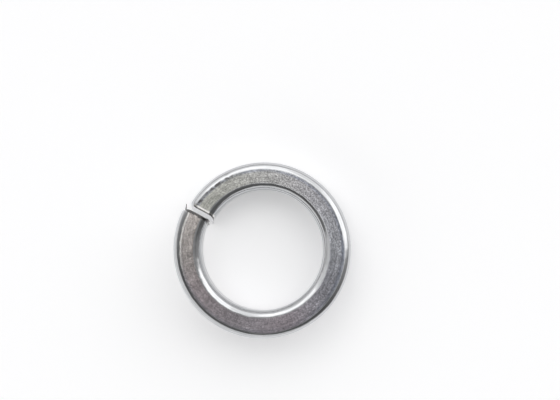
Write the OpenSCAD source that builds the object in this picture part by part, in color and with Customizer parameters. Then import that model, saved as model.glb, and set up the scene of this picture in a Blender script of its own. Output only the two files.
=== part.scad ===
// Spring lock washer for a 16 mm thread: one coil of square rolled wire, cut through by a slanting slit.
// The bore runs up the Z axis, the low end rests at z = 0 and the slit is at the front (-Y).
// Seen from above, the wire climbs clockwise: the high end is right of the slit, the low end left of it.

/* [Ring] */
// inside diameter of the ring
bore_d = 16.8; // [14:0.1:20]
// width of the wire, from the bore to the outside
ring_w = 3.9; // [3:0.1:5]

/* [Wire] */
// height of the wire
wire_h = 4.1; // [3:0.1:5]
// radius of the four rolled corners of the wire
corner_r = 1.05; // [0.4:0.05:1.2]

/* [Coil] */
// height of the whole washer, from the low end's underside to the high end's top
free_h = 8.3; // [6:0.1:10]

/* [Slit] */
// gap between the two end faces, measured level, along the ring
slit_w = 1.65; // [1.2:0.05:2.4]
// slope of the end faces, in degrees from level
slit_slope = 75; // [65:1:85]
// radius to which the cutting tool rolled over the outer corner of each end
roll_r = 0.5; // [0.2:0.05:0.8]

/* [Hidden] */

// facets along the coil, and round each corner of the wire
coil_steps = 120;
corner_steps = 5;
// each corner's arc stops this many degrees short of the wall, so that wall and arc cross at an angle
arc_short = 15;
// the swept wire stands this far past the walls that are trimmed off it
trim = 0.02;
// how far the cutting shapes reach past what they cut
reach = 1;
// sides of the round walls, and of a rolled-over corner, where the model is shown in facets
wall_sides = 240;
roll_sides = 48;

bore_r = bore_d / 2;
outer_r = bore_r + ring_w;
mid_r = bore_r + ring_w / 2;
rise = free_h - wire_h;
// how far the slit runs sideways for each millimetre of height
slit_lean = 1 / tan(slit_slope);
// how far each end's sharp tip reaches past the middle of the slit
tip_x = free_h / 2 * slit_lean - slit_w / 2;
tip_turn = asin(tip_x / mid_r);
// the front of the ring as a compass angle, and the angle of the high and the low end's tip
front = 270;
high_turn = front - tip_turn;
low_turn = front + 360 + tip_turn;

// sideways place of the slit's middle at a given height
function slit_mid(z) = (free_h / 2 - z) * slit_lean;

// how far the wire's underside is lifted at a given angle along the coil
function lift(turn) = rise * (low_turn - turn) / (low_turn - high_turn);

// one rolled corner of the wire, as [distance from the axis, height]
function corner(r, z, start) = [
    for (k = [0:corner_steps])
        let (a = start + k * (90 - arc_short) / corner_steps)
        [r + corner_r * cos(a), z + corner_r * sin(a)]
];

inner_c = bore_r + corner_r;
outer_c = outer_r - corner_r;
top_c = wire_h - corner_r;
section = concat(
    corner(outer_c, top_c, arc_short),
    corner(inner_c, top_c, 90),
    [[bore_r - trim, top_c], [bore_r - trim, corner_r]],
    corner(inner_c, corner_r, 180 + arc_short),
    corner(outer_c, corner_r, 270),
    [[outer_r + trim, corner_r], [outer_r + trim, top_c]]
);
section_n = len(section);

// angles between which a point of the section is swept; both ends stop inside the slit, sloped like it
function sweep_from(p) = front + asin((slit_mid(p[1] + rise) + slit_w / 4) / p[0]);
function sweep_to(p) = front + 360 + asin((slit_mid(p[1]) - slit_w / 4) / p[0]);

function swept(p, i) =
    let (turn = sweep_from(p) + (sweep_to(p) - sweep_from(p)) * i / coil_steps)
    [p[0] * cos(turn), p[0] * sin(turn), p[1] + lift(turn)];

// the wire swept round and down by one turn
module coiled_wire() {
    points = [for (i = [0:coil_steps], p = section) swept(p, i)];
    sides = [
        for (i = [0:coil_steps - 1], j = [0:section_n - 1])
            let (next = (j + 1) % section_n)
            [
                i * section_n + j,
                i * section_n + next,
                (i + 1) * section_n + next,
                (i + 1) * section_n + j
            ]
    ];
    high_end = [for (j = [section_n - 1:-1:0]) j];
    low_end = [for (j = [0:section_n - 1]) coil_steps * section_n + j];
    polyhedron(points = points, faces = concat([high_end], sides, [low_end]));
}

// a round bar up the axis, taller than the washer
module round_bar(r) {
    translate([0, 0, -reach])
        cylinder(r = r, h = free_h + 2 * reach, $fn = wall_sides);
}

// the slanting slab that the slit takes out
module slit_slab() {
    translate([0, -mid_r, free_h / 2])
        rotate([0, slit_slope - 90, 0])
            cube([slit_w * sin(slit_slope), ring_w + 2 * reach, 2 * free_h], center = true);
}

// what a rolled-over corner leaves out, along the slope of one end: side is 1 for the high end, -1 for the low one
module rolled_corner(side) {
    face_x = side * slit_w / 2 * sin(slit_slope);
    translate([0, 0, free_h / 2])
        rotate([0, slit_slope - 90, 0])
            linear_extrude(height = 2 * free_h, center = true)
                difference() {
                    translate([side > 0 ? face_x - reach : face_x - roll_r, -outer_r - reach])
                        square([reach + roll_r, reach + roll_r]);
                    translate([face_x + side * roll_r, roll_r - outer_r])
                        circle(r = roll_r, $fn = roll_sides);
                }
}

module lock_washer() {
    color([0.66, 0.67, 0.69])
    difference() {
        intersection() {
            coiled_wire();
            round_bar(outer_r);
        }
        round_bar(bore_r);
        slit_slab();
        rolled_corner(1);
        rolled_corner(-1);
    }
}

lock_washer();
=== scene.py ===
import math

import bmesh
import bpy
from mathutils import Matrix, Vector, noise


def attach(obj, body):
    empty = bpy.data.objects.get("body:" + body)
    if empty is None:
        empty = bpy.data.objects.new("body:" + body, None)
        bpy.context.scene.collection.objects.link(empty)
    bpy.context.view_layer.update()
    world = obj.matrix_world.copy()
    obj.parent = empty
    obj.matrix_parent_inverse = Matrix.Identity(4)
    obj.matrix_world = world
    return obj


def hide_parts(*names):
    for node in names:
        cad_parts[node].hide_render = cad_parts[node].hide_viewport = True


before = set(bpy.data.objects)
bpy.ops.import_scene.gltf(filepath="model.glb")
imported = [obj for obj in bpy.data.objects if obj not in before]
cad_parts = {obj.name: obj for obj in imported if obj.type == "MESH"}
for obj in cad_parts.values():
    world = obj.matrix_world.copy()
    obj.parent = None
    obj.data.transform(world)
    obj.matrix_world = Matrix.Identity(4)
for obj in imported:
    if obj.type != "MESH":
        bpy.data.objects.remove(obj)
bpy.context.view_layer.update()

MM = 0.001

# The washer's sizes, as in the part's source
bore_r = 8.4 * MM
ring_w = 3.9 * MM
wire_h = 4.1 * MM
corner_r = 1.05 * MM
free_h = 8.3 * MM
slit_w = 1.65 * MM
slit_slope = math.radians(75)

outer_r = bore_r + ring_w
mid_r = bore_r + ring_w / 2
rise = free_h - wire_h
slit_lean = 1 / math.tan(slit_slope)
tip_turn = math.asin((free_h / 2 * slit_lean - slit_w / 2) / mid_r)
front = math.radians(270)
high_turn = front - tip_turn
low_turn = front + 2 * math.pi + tip_turn


def lift(turn):
    """How far the wire's underside is lifted at an angle along the coil."""
    return rise * (low_turn - turn) / (low_turn - high_turn)


def srgb(hex_value):
    """A hex colour as the linear colour that a shader takes."""
    channels = [int(hex_value[i : i + 2], 16) / 255 for i in (0, 2, 4)]
    linear = [c / 12.92 if c <= 0.04045 else ((c + 0.055) / 1.055) ** 2.4 for c in channels]
    return (*linear, 1.0)


def add_node(tree, kind, links=None, **settings):
    """Adds a node. Settings name its properties; links give its inputs a value or another node's output."""
    node = tree.nodes.new(kind)
    for name, value in settings.items():
        setattr(node, name, value)
    for name, value in (links or {}).items():
        if isinstance(value, bpy.types.NodeSocket):
            tree.links.new(value, node.inputs[name])
        else:
            node.inputs[name].default_value = value
    return node


def new_tree(mat):
    """The empty node tree of a new material or world."""
    mat.use_nodes = True
    mat.node_tree.nodes.clear()
    return mat.node_tree


# Wire

# Rings along the coil, segments round each corner of the wire, and cuts across its flats and walls
COIL_STEPS = 332
CORNER_SEGMENTS = 8
FLAT_CUTS = 9
WALL_CUTS = 7
# The stretch of coil that is carried on to each cut by itself, with its rings as shares of the way
END_REACH = math.radians(14)
END_RINGS = (0.2, 0.4, 0.6, 0.8, 0.99)
# Plain wire kept between that stretch and the rounded edge, the edge's own rings, and the rim of the end face
END_SUPPORT = 0.3 * MM
ROLL_STEPS = 4
FACE_RIM = 0.7 * MM

# The tool that cut the ring off the coil came in from outside: it rolled the outer corners over,
# left the other edges sharp and ragged, and drew a burr out at the inner corners.
ROLL_OVER = 0.5 * MM
SHARP_EDGE = 0.05 * MM
RAGGED = 0.05 * MM
RAGGED_SIZE = 0.45 * MM
DRAWN_EDGE = 0.1 * MM
BURR = 0.25 * MM
BURR_SIZE = 0.5 * MM
# How far in from the outer wall the rolled-over corner reaches, and from the bore the burr
ROLL_WIDTH = 0.9 * MM
BURR_WIDTH = 0.9 * MM
BURR_INWARD = 0.8
# Towards the outer wall the edges are less drawn out and less bare: where that starts to fade,
# as a reach in from the wall, and the width over which it fades
DRAWN_FADE = (1.2 * MM, 0.9 * MM)
BARE_FADE = (0.9 * MM, 0.5 * MM)

# A thin sliver that the cut left standing on the high end's outer corner. Its foot and its tip:
# distance from the axis, height in the wire and distance behind the cut.
SLIVER_FOOT = (outer_r - 0.5 * MM, 3.84 * MM, 0.15 * MM)
SLIVER_TIP = (outer_r - 0.17 * MM, 3.8 * MM, -0.58 * MM)
SLIVER_FOOT_R = 0.09 * MM
SLIVER_TIP_R = 0.05 * MM
SLIVER_SIDES = 8

# Nicks in the outer edge: share of the way round, distance from the axis, height in the wire, reach,
# and the push inwards and down
NICKS = [
    (0.9, outer_r - 0.15 * MM, wire_h, 0.6 * MM, 0.09 * MM),
    (0.872, outer_r - 0.1 * MM, wire_h, 0.4 * MM, 0.05 * MM),
    (0.185, outer_r - 0.15 * MM, wire_h, 0.45 * MM, 0.05 * MM),
]


def smooth(share):
    """0 below 0, 1 above 1 and an easy slope between."""
    share = min(max(share, 0), 1)
    return share * share * (3 - 2 * share)


def near_outside(across, reach, width):
    """0 up to some reach in from the outer wall, and 1 once past it by a width."""
    return smooth((across - (outer_r - reach)) / width)


def on_coil(turn, across, up):
    """Where a point of the wire lies, by its angle along the coil, distance from the axis and height."""
    return Vector((across * math.cos(turn), across * math.sin(turn), lift(turn) + up))


def wire_section(bm, turn):
    """The wire's outline, as a loop of edges standing at one angle of the coil."""
    corners = []
    for across, up in ((bore_r, 0), (outer_r, 0), (outer_r, wire_h), (bore_r, wire_h)):
        corners.append(bm.verts.new((across, 0, up)))
    bm.faces.new(corners)
    bmesh.ops.bevel(
        bm,
        geom=corners,
        offset=corner_r,
        offset_type="OFFSET",
        segments=CORNER_SEGMENTS,
        profile=0.5,
        affect="VERTICES",
        material=-1,
    )
    bmesh.ops.delete(bm, geom=bm.faces[:], context="FACES_ONLY")
    long_edges = [e for e in bm.edges if e.calc_length() > corner_r]
    same_height = 0.01 * MM
    level = [e for e in long_edges if abs(e.verts[0].co.z - e.verts[1].co.z) < same_height]
    upright = [e for e in long_edges if e not in level]
    bmesh.ops.subdivide_edges(bm, edges=level, cuts=FLAT_CUTS)
    bmesh.ops.subdivide_edges(bm, edges=upright, cuts=WALL_CUTS)
    place = bm.verts.layers.float_vector["wire_place"]
    for v in bm.verts:
        v[place] = (turn, v.co.x, v.co.z)
        v.co = on_coil(turn, v.co.x, v.co.z)


def faces_out(across, up):
    """Which way the wire's surface faces in its own section."""
    core_across = min(max(across, bore_r + corner_r), outer_r - corner_r)
    core_up = min(max(up, corner_r), wire_h - corner_r)
    return Vector((across - core_across, up - core_up)).normalized()


def behind_cut(side, across, up, back):
    """The angle at which a point of the section lies a distance behind the face of a cut-off end."""
    begin = front if side > 0 else front + 2 * math.pi
    turn = begin
    # the cut leans and the lift depends on the angle, so the angle is closed in on
    for step in range(4):
        middle = -(lift(turn) + up - free_h / 2) * slit_lean
        aside = middle + side * (slit_w / 2 + back / math.sin(slit_slope))
        turn = begin + math.asin(aside / across)
    return turn


def end_round(side, across, up):
    """The radius of the end's edge at a point of the section, slightly ragged."""
    outside = near_outside(across, ROLL_WIDTH, ROLL_WIDTH)
    ragged = noise.noise(Vector((across, up, side * MM)) / RAGGED_SIZE)
    return SHARP_EDGE + ROLL_OVER * outside + RAGGED * (0.5 + 0.5 * ragged) * (1 - outside)


def burr(across, up):
    """How far the end's edge is drawn out at a point of the section: most at the inner corner."""
    ragged = noise.noise(Vector((across, up, 0)) / BURR_SIZE)
    return BURR * (0.8 + 0.6 * ragged) * (1 - smooth((across - bore_r) / BURR_WIDTH))


def rounded_edge(v, side, across, up, roll):
    """Sets a point of the end's rounded edge. Roll runs from 0 on the wire to a right angle on the face."""
    radius = end_round(side, across, up)
    inner_burr = burr(across, up)
    drawn = max(inner_burr, DRAWN_EDGE * (1 - near_outside(across, *DRAWN_FADE)))
    inward = faces_out(across, up) * -radius * (1 - math.cos(roll))
    back = radius * (1 - math.sin(roll)) - drawn * math.sin(roll)
    across, up = across + inward.x - BURR_INWARD * inner_burr * math.sin(roll), up + inward.y
    v.co = on_coil(behind_cut(side, across, up, back), across, up)


def finish_end(bm, loop, side):
    """Carries the wire on to one end, rounds its edge over and closes it with a flat face."""
    place = bm.verts.layers.float_vector["wire_place"]
    wear_and_highlight = bm.verts.layers.float["edge_wear_and_highlight"]
    begin = front + END_REACH if side > 0 else front + 2 * math.pi - END_REACH
    rings = [("wire", share) for share in END_RINGS]
    rings += [("edge", math.pi / 2 * k / ROLL_STEPS) for k in range(ROLL_STEPS + 1)]
    rings.append(("face", FACE_RIM))
    for part, amount in rings:
        grown = bmesh.ops.extrude_edge_only(bm, edges=loop)["geom"]
        fresh = {g for g in grown if isinstance(g, bmesh.types.BMVert)}
        loop = [g for g in grown if isinstance(g, bmesh.types.BMEdge) and fresh.issuperset(g.verts)]
        for v in fresh:
            across, up = v[place][1], v[place][2]
            if part == "wire":
                goal = behind_cut(side, across, up, end_round(side, across, up) + END_SUPPORT)
                v[place] = (begin + amount * (goal - begin), across, up)
                v.co = on_coil(v[place][0], across, up)
            elif part == "edge":
                # the edge attribute is 1 on the bare edges, and -1 where the low end's edge begins, to carry
                # a painted highlight there
                worn = -1 if side < 0 and amount == 0 else 1
                v[wear_and_highlight] = worn * (1 - near_outside(across, *BARE_FADE))
                rounded_edge(v, side, across, up, amount)
            else:
                inward = faces_out(across, up) * -amount
                across, up = across + inward.x, up + inward.y
                v.co = on_coil(behind_cut(side, across, up, 0), across, up)
    cap = bmesh.ops.contextual_create(bm, geom=loop)["faces"][0]
    cap.material_index = 1
    for v in fresh:
        for f in v.link_faces:
            f.material_index = 1


def sliver(bm):
    """The sliver of steel on the high end's outer corner."""
    place = bm.verts.layers.float_vector["wire_place"]
    wear_and_highlight = bm.verts.layers.float["edge_wear_and_highlight"]
    foot, tip = [
        on_coil(behind_cut(1, across, up, back), across, up) for across, up, back in (SLIVER_FOOT, SLIVER_TIP)
    ]
    along = tip - foot
    stand = Matrix.Translation((foot + tip) / 2) @ along.to_track_quat("Z", "Y").to_matrix().to_4x4()
    grown = bmesh.ops.create_cone(
        bm,
        cap_ends=True,
        segments=SLIVER_SIDES,
        radius1=SLIVER_FOOT_R,
        radius2=SLIVER_TIP_R,
        depth=along.length,
        matrix=stand,
    )
    for v in grown["verts"]:
        v[place] = (high_turn, outer_r, wire_h)
        v[wear_and_highlight] = 1


def nick(bm, share, across, up, reach, depth):
    """Pushes the surface round one point of the wire inwards and down."""
    turn = front + 2 * math.pi * share
    centre = on_coil(turn, across, up)
    push = Vector((-depth * math.cos(turn), -depth * math.sin(turn), -depth))
    for v in bm.verts:
        away = (v.co - centre).length
        if away < reach:
            v.co += push * smooth(1 - away / reach)


def coil_piece():
    """The whole washer: the section spun round and down by a turn, with its two ends."""
    bm = bmesh.new()
    place = bm.verts.layers.float_vector.new("wire_place")
    bm.verts.layers.float.new("edge_wear_and_highlight")
    start = front + END_REACH
    total = 2 * math.pi - 2 * END_REACH
    wire_section(bm, start)
    high_loop = bm.edges[:]
    per_ring = len(bm.verts)
    drop = (lift(start) - lift(start + total)) / COIL_STEPS
    spun = bmesh.ops.spin(
        bm,
        geom=bm.verts[:] + bm.edges[:],
        cent=(0, 0, 0),
        axis=(0, 0, 1),
        dvec=(0, 0, -drop),
        angle=total,
        steps=COIL_STEPS,
        use_merge=False,
        use_duplicate=False,
    )
    low_loop = [g for g in spun["geom_last"] if isinstance(g, bmesh.types.BMEdge)]
    bm.verts.index_update()
    for v in bm.verts:
        turn = start + total * (v.index // per_ring) / COIL_STEPS
        v[place] = (turn, v[place][1], v[place][2])
    finish_end(bm, high_loop, 1)
    finish_end(bm, low_loop, -1)
    sliver(bm)
    bmesh.ops.recalc_face_normals(bm, faces=bm.faces[:])
    for f in bm.faces:
        f.smooth = f.material_index == 0

    # from angle and metres to millimetres along, across and up the straight wire
    for v in bm.verts:
        turn, across, up = v[place]
        v[place] = ((turn - front) * mid_r / MM, across / MM, up / MM)
    for share, across, up, reach, depth in NICKS:
        nick(bm, share, across, up, reach, depth)
    mesh = bpy.data.meshes.new("coiled_wire")
    bm.to_mesh(mesh)
    bm.free()
    piece = bpy.data.objects.new("coiled_wire", mesh)
    bpy.context.scene.collection.objects.link(piece)
    return piece


wire = coil_piece()
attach(wire, "root")
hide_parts("lock_washer")


# Zinc-plated steel. The finish is laid out on the straight wire: `turn` is the share of the way round
# from the high end to the low one, `across` the distance from the axis, and `aside` the distance
# outwards from the wire's middle, both in millimetres.

FLAT_HALF = (ring_w / 2 - corner_r) / MM

# The film's colour on the flats, by share of the way round
FILM_COLOURS = [
    (0.0, "CBC4C0"),
    (0.1, "B2ADAA"),
    (0.17, "B3A7AB"),
    (0.3, "C0BCC2"),
    (0.38, "C4B8BF"),
    (0.44, "BAB8C0"),
    (0.52, "9FA0A7"),
    (0.6, "B3B5BA"),
    (0.7, "A1A0A5"),
    (0.79, "B0AFAF"),
    (0.9, "AEAEA9"),
    (1.0, "C0C0B8"),
]
# bluer, darker colour at the flat's outer border: a thicker film, and painted shade where the flat slopes
# away
OUTER_FILM_AND_SHADE = "878C99"
# painted shade: the inner wall's colour is greyer than the outer wall's, for the shade in the bore
INNER_WALL_SHADED = "B1B3B5"
OUTER_WALL = "D0D1D3"
# painted highlight: the pale colour of the thin bright lines along the flat's outer border and the low end's
# edge
LIP_HIGHLIGHT_PAINT = "F0EEEA"
BARE_STEEL = "696767"
# Roughness of the burnished corners and walls, and of the corners where they are rubbed matt
BURNISHED_ROUGH = 0.13
RUBBED_ROUGH = 0.5
# The stretches of the turn where the outer and the inner corner are rubbed matt: the middle,
# and how far off it the rubbing starts to fade and ends
RUBBED_OUTSIDE = (0.45, 0.1, 0.18)
RUBBED_INSIDE = (0.55, 0.05, 0.09)


def rubbed_stretch(tree, turn, middle, fade, end):
    """1 along a stretch of the turn where handling rubbed a corner matt."""
    off = add_node(tree, "ShaderNodeMath", {0: turn, 1: middle}, operation="SUBTRACT").outputs[0]
    off = add_node(tree, "ShaderNodeMath", {0: off}, operation="ABSOLUTE").outputs[0]
    return add_node(
        tree,
        "ShaderNodeMapRange",
        {"Value": off, "From Min": fade, "From Max": end, "To Min": 1, "To Max": 0},
        interpolation_type="SMOOTHSTEP",
    ).outputs["Result"]


def rolled_flat(tree, aside, rubbed):
    """1 on the rolled flats, 0 on the corners and walls. Where the outer corner is rubbed, the grain
    runs on over it."""
    run_on = add_node(tree, "ShaderNodeMath", {0: rubbed, 1: 0.2}, operation="MULTIPLY").outputs[0]
    outward = add_node(tree, "ShaderNodeMath", {0: aside, 1: run_on}, operation="SUBTRACT").outputs[0]
    inward = add_node(tree, "ShaderNodeMath", {0: aside, 1: -1}, operation="MULTIPLY").outputs[0]
    off_middle = add_node(tree, "ShaderNodeMath", {0: outward, 1: inward}, operation="MAXIMUM").outputs[0]
    return add_node(
        tree,
        "ShaderNodeMapRange",
        {
            "Value": off_middle,
            "From Min": FLAT_HALF - 0.05,
            "From Max": FLAT_HALF + 0.12,
            "To Min": 1,
            "To Max": 0,
        },
        interpolation_type="SMOOTHSTEP",
    ).outputs["Result"]


def film_tint(tree, turn, aside, cloud):
    """The passive film's colour: it drifts along the wire, and towards the outer edge it turns bluer and
    darker,
    most so on the second half of the turn: partly a thicker film, partly painted shade where the flat slopes
    away."""
    film = add_node(tree, "ShaderNodeValToRGB", {"Fac": turn})
    band = film.color_ramp
    band.interpolation = "B_SPLINE"
    band.elements[0].position, band.elements[0].color = FILM_COLOURS[0][0], srgb(FILM_COLOURS[0][1])
    band.elements[1].position, band.elements[1].color = FILM_COLOURS[-1][0], srgb(FILM_COLOURS[-1][1])
    for position, colour in FILM_COLOURS[1:-1]:
        band.elements.new(position).color = srgb(colour)

    # painted shade and thicker film: the flat darkens and turns bluer towards its outer border
    border = add_node(
        tree,
        "ShaderNodeMapRange",
        {"Value": aside, "From Min": 0.4, "From Max": 0.85, "To Min": 0, "To Max": 1},
        interpolation_type="SMOOTHSTEP",
    ).outputs["Result"]
    outer_darkening = add_node(
        tree,
        "ShaderNodeMapRange",
        {"Value": turn, "From Min": 0.4, "From Max": 0.52, "To Min": 0.45, "To Max": 1.15},
        interpolation_type="SMOOTHSTEP",
    ).outputs["Result"]
    border = add_node(tree, "ShaderNodeMath", {0: border, 1: cloud}, operation="MULTIPLY").outputs[0]
    border = add_node(
        tree, "ShaderNodeMath", {0: border, 1: outer_darkening}, operation="MULTIPLY", use_clamp=True
    ).outputs[0]
    return add_node(
        tree,
        "ShaderNodeMix",
        {"Factor": border, "A": film.outputs["Color"], "B": srgb(OUTER_FILM_AND_SHADE)},
        data_type="RGBA",
    ).outputs[2]


def wall_tint(tree, across):
    """The walls and corners: the inner wall is painted greyer than the outer one, as painted shade in the
    bore.
    """
    outer = add_node(
        tree,
        "ShaderNodeMapRange",
        {"Value": across, "From Min": bore_r / MM + 0.03, "From Max": bore_r / MM + 0.18},
    ).outputs["Result"]
    return add_node(
        tree,
        "ShaderNodeMix",
        {"Factor": outer, "A": srgb(INNER_WALL_SHADED), "B": srgb(OUTER_WALL)},
        data_type="RGBA",
    ).outputs[2]


def flat_tone(tree, turn, grain, lines, cloud):
    """How light the flats are from spot to spot. The grain is calmer on the first part of the turn
    and near the low end."""
    depth = add_node(
        tree,
        "ShaderNodeMapRange",
        {"Value": turn, "From Min": 0.22, "From Max": 0.42, "To Min": 1.3, "To Max": 2.5},
        interpolation_type="SMOOTHSTEP",
    ).outputs["Result"]
    depth = add_node(
        tree,
        "ShaderNodeMapRange",
        {"Value": turn, "From Min": 0.75, "From Max": 0.93, "To Min": depth, "To Max": 1.1},
        interpolation_type="SMOOTHSTEP",
    ).outputs["Result"]
    tone = add_node(tree, "ShaderNodeMath", {0: grain, 1: 0.5}, operation="SUBTRACT").outputs[0]
    tone = add_node(
        tree, "ShaderNodeMath", {0: tone, 1: depth, 2: 0.92}, operation="MULTIPLY_ADD"
    ).outputs[0]
    streak = add_node(
        tree,
        "ShaderNodeMapRange",
        {"Value": lines, "From Min": 0.3, "From Max": 0.7, "To Min": 0.8, "To Max": 1.2},
    ).outputs["Result"]
    drift = add_node(
        tree,
        "ShaderNodeMapRange",
        {"Value": cloud, "From Min": 0.3, "From Max": 0.7, "To Min": 0.88, "To Max": 1.08},
    ).outputs["Result"]
    tone = add_node(tree, "ShaderNodeMath", {0: tone, 1: streak}, operation="MULTIPLY").outputs[0]
    return add_node(tree, "ShaderNodeMath", {0: tone, 1: drift}, operation="MULTIPLY").outputs[0]


def painted_lip_highlight(tree, turn, aside, wear_and_highlight):
    """1 where a highlight is painted as colour: a thin bright line along the flat's outer border behind
    the high end, and along the low end's edge."""
    border = add_node(
        tree, "ShaderNodeMath", {0: aside, 1: FLAT_HALF - 0.03}, operation="SUBTRACT"
    ).outputs[0]
    border = add_node(tree, "ShaderNodeMath", {0: border}, operation="ABSOLUTE").outputs[0]
    border = add_node(
        tree,
        "ShaderNodeMapRange",
        {"Value": border, "From Min": 0.08, "From Max": 0.22, "To Min": 1, "To Max": 0},
        interpolation_type="SMOOTHSTEP",
    ).outputs["Result"]
    behind_high_end = add_node(
        tree,
        "ShaderNodeMapRange",
        {"Value": turn, "From Min": 0.06, "From Max": 0.13, "To Min": 0.75, "To Max": 0},
    ).outputs["Result"]
    border = add_node(
        tree, "ShaderNodeMath", {0: border, 1: behind_high_end}, operation="MULTIPLY"
    ).outputs[0]
    low_edge = add_node(
        tree, "ShaderNodeMapRange", {"Value": wear_and_highlight, "From Min": -0.2, "From Max": -0.45}
    ).outputs["Result"]
    return add_node(tree, "ShaderNodeMath", {0: border, 1: low_edge}, operation="MAXIMUM").outputs[0]


def bare_steel(tree, place, turn, aside, wear_and_highlight):
    """1 where the plate is gone: on the sharp edges of the ends, and in broken marks along the flat's
    outer border near the low end."""
    ragged = add_node(
        tree, "ShaderNodeTexNoise", {"Vector": place, "Scale": 2.2, "Detail": 2.0, "Roughness": 0.6}
    ).outputs["Fac"]
    edge = add_node(
        tree, "ShaderNodeMath", {0: ragged, 1: 1.8, 2: wear_and_highlight}, operation="MULTIPLY_ADD"
    ).outputs[0]
    edge = add_node(
        tree, "ShaderNodeMapRange", {"Value": edge, "From Min": 1.15, "From Max": 1.4}
    ).outputs["Result"]
    worn = add_node(
        tree, "ShaderNodeMapRange", {"Value": wear_and_highlight, "From Min": 0, "From Max": 0.2}
    ).outputs["Result"]
    edge = add_node(tree, "ShaderNodeMath", {0: edge, 1: worn}, operation="MULTIPLY").outputs[0]
    border = add_node(
        tree, "ShaderNodeMath", {0: aside, 1: FLAT_HALF - 0.05, 2: 0.2}, operation="COMPARE"
    ).outputs[0]
    near_low_end = add_node(
        tree, "ShaderNodeMapRange", {"Value": turn, "From Min": 0.87, "From Max": 0.9}
    ).outputs["Result"]
    marks = add_node(
        tree, "ShaderNodeMapRange", {"Value": ragged, "From Min": 0.47, "From Max": 0.53}
    ).outputs["Result"]
    marks = add_node(tree, "ShaderNodeMath", {0: marks, 1: border}, operation="MULTIPLY").outputs[0]
    marks = add_node(tree, "ShaderNodeMath", {0: marks, 1: near_low_end}, operation="MULTIPLY").outputs[0]
    return add_node(tree, "ShaderNodeMath", {0: edge, 1: marks}, operation="MAXIMUM").outputs[0]


def plate_gloss(tree, turn, aside, flat, rubbed, grain):
    """The roughness: satin on the flats, burnished elsewhere, and matt in the two narrow strips beside
    the flat where the outer and the inner corner are rubbed."""
    satin = add_node(
        tree,
        "ShaderNodeMapRange",
        {"Value": grain, "From Min": 0.3, "From Max": 0.7, "To Min": 0.25, "To Max": 0.16},
    ).outputs["Result"]
    rough = add_node(
        tree, "ShaderNodeMix", {"Factor": flat, "A": BURNISHED_ROUGH, "B": satin}, data_type="FLOAT"
    ).outputs[0]
    rubbed_inside = rubbed_stretch(tree, turn, *RUBBED_INSIDE)
    for middle, fade, end, share in (
        (FLAT_HALF + 0.15, 0.05, 0.22, rubbed),
        (-FLAT_HALF - 0.25, 0.15, 0.35, rubbed_inside),
    ):
        strip = add_node(tree, "ShaderNodeMath", {0: aside, 1: middle}, operation="SUBTRACT").outputs[0]
        strip = add_node(tree, "ShaderNodeMath", {0: strip}, operation="ABSOLUTE").outputs[0]
        strip = add_node(
            tree,
            "ShaderNodeMapRange",
            {"Value": strip, "From Min": fade, "From Max": end, "To Min": share, "To Max": 0},
            interpolation_type="SMOOTHSTEP",
        ).outputs["Result"]
        rough = add_node(
            tree, "ShaderNodeMix", {"Factor": strip, "A": rough, "B": RUBBED_ROUGH}, data_type="FLOAT"
        ).outputs[0]
    return rough


def plate_relief(tree, place, flat, grain, lines):
    """The surface's small heights: the burnished corners undulate a little, and the flats have the grain
    and the roll lines."""
    wave = add_node(
        tree, "ShaderNodeTexNoise", {"Vector": place, "Scale": 0.7, "Detail": 1.0, "Roughness": 0.5}
    ).outputs["Fac"]
    fine = add_node(tree, "ShaderNodeMath", {0: grain, 1: lines}, operation="ADD").outputs[0]
    fine_strength = add_node(
        tree, "ShaderNodeMix", {"Factor": flat, "A": 0.15, "B": 0.6}, data_type="FLOAT"
    ).outputs[0]
    bump = add_node(
        tree, "ShaderNodeBump", {"Height": wave, "Distance": 0.06 * MM, "Strength": 0.6}
    ).outputs["Normal"]
    return add_node(
        tree,
        "ShaderNodeBump",
        {"Height": fine, "Distance": 0.02 * MM, "Strength": fine_strength, "Normal": bump},
    ).outputs["Normal"]


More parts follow.
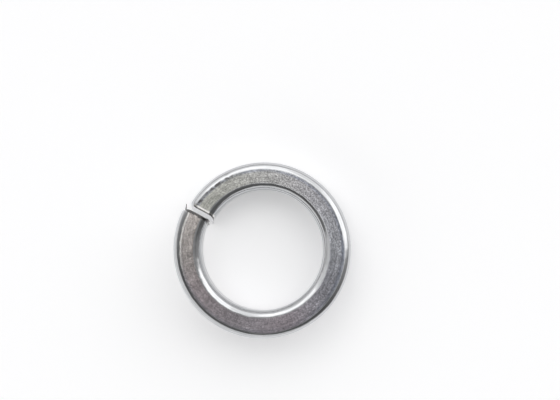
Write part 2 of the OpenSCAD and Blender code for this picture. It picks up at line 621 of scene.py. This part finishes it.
def zinc_plate():
    """Bright zinc plate on rolled spring steel: satin and finely grained where the rolls pressed it flat,
    burnished and glossy on the rounded corners, with a thin passive film that drifts in colour along it."""
    mat = bpy.data.materials.new("zinc_plate")
    tree = new_tree(mat)
    place = add_node(tree, "ShaderNodeAttribute", attribute_name="wire_place").outputs["Vector"]
    wear_and_highlight = add_node(tree, "ShaderNodeAttribute", attribute_name="edge_wear_and_highlight").outputs["Fac"]
    parts = add_node(tree, "ShaderNodeSeparateXYZ", {"Vector": place}).outputs
    across = parts["Y"]
    turn = add_node(
        tree,
        "ShaderNodeMapRange",
        {"Value": parts["X"], "From Min": 0, "From Max": 2 * math.pi * mid_r / MM, "To Min": 0, "To Max": 1},
    ).outputs["Result"]
    aside = add_node(tree, "ShaderNodeMath", {0: across, 1: mid_r / MM}, operation="SUBTRACT").outputs[0]

    # pits and crystals of the plate, about 0.15 mm across
    grain = add_node(
        tree, "ShaderNodeTexNoise", {"Vector": place, "Scale": 5.0, "Detail": 2.0, "Roughness": 0.7}
    ).outputs["Fac"]
    # roll lines: the same kind of noise, drawn out more than ten times along the wire
    stretched = add_node(
        tree, "ShaderNodeMapping", {"Vector": place, "Scale": (0.35, 4.5, 4.5)}
    ).outputs["Vector"]
    lines = add_node(
        tree, "ShaderNodeTexNoise", {"Vector": stretched, "Scale": 1.0, "Detail": 4.0, "Roughness": 0.6}
    ).outputs["Fac"]
    # slow cloudiness of the plating bath, some 3 mm wide
    cloud = add_node(
        tree, "ShaderNodeTexNoise", {"Vector": place, "Scale": 0.35, "Detail": 3.0, "Roughness": 0.5}
    ).outputs["Fac"]

    rubbed = rubbed_stretch(tree, turn, *RUBBED_OUTSIDE)
    flat = rolled_flat(tree, aside, rubbed)
    tint = add_node(
        tree,
        "ShaderNodeMix",
        {"Factor": flat, "A": wall_tint(tree, across), "B": film_tint(tree, turn, aside, cloud)},
        data_type="RGBA",
    ).outputs[2]
    # the walls and corners have only faint lines
    drawn = add_node(
        tree,
        "ShaderNodeMapRange",
        {"Value": lines, "From Min": 0.35, "From Max": 0.65, "To Min": 0.86, "To Max": 1.06},
    ).outputs["Result"]
    tone = add_node(
        tree,
        "ShaderNodeMix",
        {"Factor": flat, "A": drawn, "B": flat_tone(tree, turn, grain, lines, cloud)},
        data_type="FLOAT",
    ).outputs[0]
    colour = add_node(
        tree, "ShaderNodeVectorMath", {0: tint, "Scale": tone}, operation="SCALE"
    ).outputs["Vector"]
    # the painted highlight on the lips, then the bare steel of the worn edges
    for share, paint in (
        (painted_lip_highlight(tree, turn, aside, wear_and_highlight), LIP_HIGHLIGHT_PAINT),
        (bare_steel(tree, place, turn, aside, wear_and_highlight), BARE_STEEL),
    ):
        colour = add_node(
            tree, "ShaderNodeMix", {"Factor": share, "A": colour, "B": srgb(paint)}, data_type="RGBA"
        ).outputs[2]

    shader = add_node(
        tree,
        "ShaderNodeBsdfPrincipled",
        {
            "Base Color": colour,
            "Metallic": 1.0,
            "Roughness": plate_gloss(tree, turn, aside, flat, rubbed, grain),
            "Normal": plate_relief(tree, place, flat, grain, lines),
        },
    )
    add_node(tree, "ShaderNodeOutputMaterial", {"Surface": shader.outputs["BSDF"]})
    return mat


def sheared_face():
    """Zinc plate on a sheared face: the cut-off ends, plated after cutting, are duller than the rolled wire
    and are painted paler, as painted light on faces that sit in shade, with the tool's marks running down
    them."""
    mat = bpy.data.materials.new("sheared_face")
    tree = new_tree(mat)
    place = add_node(tree, "ShaderNodeAttribute", attribute_name="wire_place").outputs["Vector"]
    stretched = add_node(
        tree, "ShaderNodeMapping", {"Vector": place, "Scale": (1.0, 8.0, 0.8)}
    ).outputs["Vector"]
    marks = add_node(
        tree, "ShaderNodeTexNoise", {"Vector": stretched, "Scale": 1.0, "Detail": 3.0, "Roughness": 0.6}
    ).outputs["Fac"]
    # painted light: the end faces' colour is near white so they read bright though the slit keeps them in
    # shade; the tool marks vary it
    colour = add_node(
        tree, "ShaderNodeMix", {"Factor": marks, "A": srgb("DDDEE0"), "B": srgb("FAFAFB")}, data_type="RGBA"
    ).outputs[2]
    bump = add_node(
        tree, "ShaderNodeBump", {"Height": marks, "Distance": 0.03 * MM, "Strength": 0.6}
    ).outputs["Normal"]
    shader = add_node(
        tree,
        "ShaderNodeBsdfPrincipled",
        {"Base Color": colour, "Metallic": 1.0, "Roughness": 0.5, "Normal": bump},
    )
    add_node(tree, "ShaderNodeOutputMaterial", {"Surface": shader.outputs["BSDF"]})
    return mat


wire.data.materials.append(zinc_plate())
wire.data.materials.append(sheared_face())


# Table, light and camera

TABLE_R = 1.5
# How much of the table's white is a glow of its own, seen directly and in glossy reflections only
TABLE_GLOW = 0.28


def white_card():
    """White uncoated card: matt, with no gloss at all, so it shows nothing but the soft shadow."""
    mat = bpy.data.materials.new("white_card")
    tree = new_tree(mat)
    rays = add_node(tree, "ShaderNodeLightPath").outputs
    seen = add_node(
        tree, "ShaderNodeMath", {0: rays["Is Camera Ray"], 1: rays["Is Glossy Ray"]}, operation="ADD"
    ).outputs[0]
    seen = add_node(
        tree, "ShaderNodeMath", {0: seen, 1: rays["Is Transmission Ray"]}, operation="ADD", use_clamp=True
    ).outputs[0]
    glow = add_node(tree, "ShaderNodeMath", {0: seen, 1: TABLE_GLOW}, operation="MULTIPLY").outputs[0]
    card = add_node(
        tree,
        "ShaderNodeBsdfPrincipled",
        {
            "Base Color": srgb("F7F7F8"),
            "Roughness": 0.9,
            "Specular IOR Level": 0.0,
            "Emission Color": srgb("FFFFFF"),
            "Emission Strength": glow,
        },
    )
    add_node(tree, "ShaderNodeOutputMaterial", {"Surface": card.outputs["BSDF"]})
    return mat


def table():
    bm = bmesh.new()
    bmesh.ops.create_circle(bm, cap_ends=True, segments=64, radius=TABLE_R)
    mesh = bpy.data.meshes.new("table_top")
    bm.to_mesh(mesh)
    bm.free()
    top = bpy.data.objects.new("table_top", mesh)
    bpy.context.scene.collection.objects.link(top)
    mesh.materials.append(white_card())


table()

# The picture's right-hand direction, as a compass angle of the washer
PICTURE_RIGHT = math.radians(118.03)
# Where the window and the pier in it stand, in degrees round from the picture's right
WINDOW_AT = 82
PIER_AT = 70
# Other places in the room: degrees round from the picture's right, and degrees down from straight
# overhead. For an edge or a line it is the side that it faces.
ROOM = {
    "wall_edge": (232, 140),
    "blind_line": (150, 138),
    "dark_ceiling": (310, 6),
    "lit_ceiling": (140, 6),
    "lamp_glow": (199, 5.3),
}


def direction(around, down):
    """A direction by its angle in the picture and its angle down from straight overhead, in degrees."""
    turn = PICTURE_RIGHT + math.radians(around)
    level = math.sin(math.radians(down))
    return (level * math.cos(turn), level * math.sin(turn), math.cos(math.radians(down)))


def within(degrees):
    """How far a direction turns towards a place when it is that many degrees off."""
    return math.cos(math.radians(degrees))


def wall_and_ceiling(tree, facing, towards):
    """The dark ceiling, a little lighter towards the window, and the far white wall, which ends at it
    in a straight edge."""
    gloom = add_node(
        tree,
        "ShaderNodeMapRange",
        {"Value": facing, "From Min": -0.55, "From Max": 0.05, "To Min": 0.12, "To Max": 0.33},
    ).outputs["Result"]
    gloom = add_node(
        tree,
        "ShaderNodeMapRange",
        {
            "Value": towards["dark_ceiling"],
            "From Min": within(24),
            "From Max": within(10),
            "To Min": gloom,
            "To Max": 0.32,
        },
        interpolation_type="SMOOTHSTEP",
    ).outputs["Result"]
    return add_node(
        tree,
        "ShaderNodeMapRange",
        {"Value": towards["wall_edge"], "From Min": -0.04, "From Max": 0.06, "To Min": gloom, "To Max": 0.84},
        interpolation_type="SMOOTHSTEP",
    ).outputs["Result"]


def window_pane(tree, pier, height, towards):
    """The window: dimmer at its pier and below the line of its blind, and dimmest at the sill below it."""
    pane = add_node(
        tree,
        "ShaderNodeMapRange",
        {"Value": pier, "From Min": 0.94, "From Max": 0.99, "To Min": 1.65, "To Max": 1.15},
        interpolation_type="SMOOTHSTEP",
    ).outputs["Result"]
    pane = add_node(
        tree,
        "ShaderNodeMapRange",
        {"Value": towards["blind_line"], "From Min": -0.08, "From Max": 0.08, "To Min": pane, "To Max": 1.0},
        interpolation_type="SMOOTHSTEP",
    ).outputs["Result"]
    return add_node(
        tree,
        "ShaderNodeMapRange",
        {"Value": height, "From Min": 0.18, "From Max": 0.42, "To Min": 0.62, "To Max": pane},
        interpolation_type="SMOOTHSTEP",
    ).outputs["Result"]


def overhead_patch(tree, lit, towards):
    """1 on the lit part of the ceiling, straight overhead: it is lit near the lamp and near the window."""
    patch = add_node(
        tree,
        "ShaderNodeMapRange",
        {"Value": towards["lit_ceiling"], "From Min": within(18), "From Max": within(15)},
        interpolation_type="SMOOTHSTEP",
    ).outputs["Result"]
    near_lamp = add_node(
        tree,
        "ShaderNodeMapRange",
        {"Value": towards["lamp_glow"], "From Min": within(14), "From Max": within(10)},
        interpolation_type="SMOOTHSTEP",
    ).outputs["Result"]
    near_light = add_node(tree, "ShaderNodeMath", {0: near_lamp, 1: lit}, operation="MAXIMUM").outputs[0]
    return add_node(tree, "ShaderNodeMath", {0: patch, 1: near_light}, operation="MULTIPLY").outputs[0]


def studio():
    """A white room under a dark ceiling, with a wide window beyond the picture's upper right and
    a white wall opposite."""
    world = bpy.data.worlds.new("studio")
    bpy.context.scene.world = world
    tree = new_tree(world)
    where = add_node(tree, "ShaderNodeTexCoord").outputs["Generated"]
    height = add_node(tree, "ShaderNodeSeparateXYZ", {"Vector": where}).outputs["Z"]
    rightwards = add_node(
        tree, "ShaderNodeVectorMath", {0: where, 1: direction(0, 90)}, operation="DOT_PRODUCT"
    ).outputs["Value"]
    towards = {
        name: add_node(
            tree, "ShaderNodeVectorMath", {0: where, 1: direction(*place)}, operation="DOT_PRODUCT"
        ).outputs["Value"]
        for name, place in ROOM.items()
    }

    # how far a direction turns towards the window and towards the pier, whatever its height
    level = add_node(
        tree, "ShaderNodeVectorMath", {0: where, 1: (1, 1, 0)}, operation="MULTIPLY"
    ).outputs["Vector"]
    level = add_node(tree, "ShaderNodeVectorMath", {0: level}, operation="NORMALIZE").outputs["Vector"]
    facing, pier = [
        add_node(
            tree, "ShaderNodeVectorMath", {0: level, 1: direction(around, 90)}, operation="DOT_PRODUCT"
        ).outputs["Value"]
        for around in (WINDOW_AT, PIER_AT)
    ]

    lit = add_node(
        tree,
        "ShaderNodeMapRange",
        {"Value": facing, "From Min": 0.08, "From Max": 0.36},
        interpolation_type="SMOOTHSTEP",
    ).outputs["Result"]
    around = add_node(
        tree,
        "ShaderNodeMix",
        {
            "Factor": lit,
            "A": wall_and_ceiling(tree, facing, towards),
            "B": window_pane(tree, pier, height, towards),
        },
        data_type="FLOAT",
    ).outputs["Result"]
    # the lit ceiling fades towards the right
    overhead = add_node(
        tree,
        "ShaderNodeMapRange",
        {"Value": rightwards, "From Min": -0.24, "From Max": 0.0, "To Min": 1.5, "To Max": 0.34},
    ).outputs["Result"]
    shade = add_node(
        tree,
        "ShaderNodeMix",
        {"Factor": overhead_patch(tree, lit, towards), "A": around, "B": overhead},
        data_type="FLOAT",
    ).outputs["Result"]
    light = add_node(tree, "ShaderNodeBackground", {"Color": shade, "Strength": 1.0})
    add_node(tree, "ShaderNodeOutputWorld", {"Surface": light.outputs["Background"]})


studio()

# The camera, from the photograph's pixels: the picture's width and middle, the focal length,
# the scale at the washer and where the middle of the washer shows
SENSOR = 36
PICTURE_W_PX = 560
PICTURE_MIDDLE_PX = (280, 200)
FOCAL_PX = 1300
PX_PER_MM = 7.126
WASHER_MIDDLE_PX = (263.35, 249.74)
# How the camera leans off the washer's axis, to the front and to the side
LEAN_FRONT = math.radians(-0.46)
LEAN_SIDE = math.radians(-4.35)


def photo_camera():
    """Looks down on the washer, with the slit at the upper left."""
    camera = bpy.data.cameras.new("camera")
    camera.sensor_width = SENSOR
    camera.lens = SENSOR * FOCAL_PX / PICTURE_W_PX
    camera.clip_start = 0.01
    camera.clip_end = 10
    right = (WASHER_MIDDLE_PX[0] - PICTURE_MIDDLE_PX[0]) / PX_PER_MM * MM
    above = -(WASHER_MIDDLE_PX[1] - PICTURE_MIDDLE_PX[1]) / PX_PER_MM * MM
    distance = FOCAL_PX / PX_PER_MM * MM
    lean = Matrix.Rotation(LEAN_FRONT, 3, "X") @ Matrix.Rotation(LEAN_SIDE, 3, "Y")
    turn = lean @ Matrix.Rotation(-PICTURE_RIGHT, 3, "Z")
    back = turn.transposed()
    place = back @ -Vector((right, above, -distance)) + Vector((0, 0, free_h / 2))
    seat = bpy.data.objects.new("camera", camera)
    bpy.context.scene.collection.objects.link(seat)
    seat.matrix_world = Matrix.Translation(place) @ back.to_4x4()
    bpy.context.scene.camera = seat


photo_camera()
bpy.context.scene.view_settings.view_transform = "Standard"
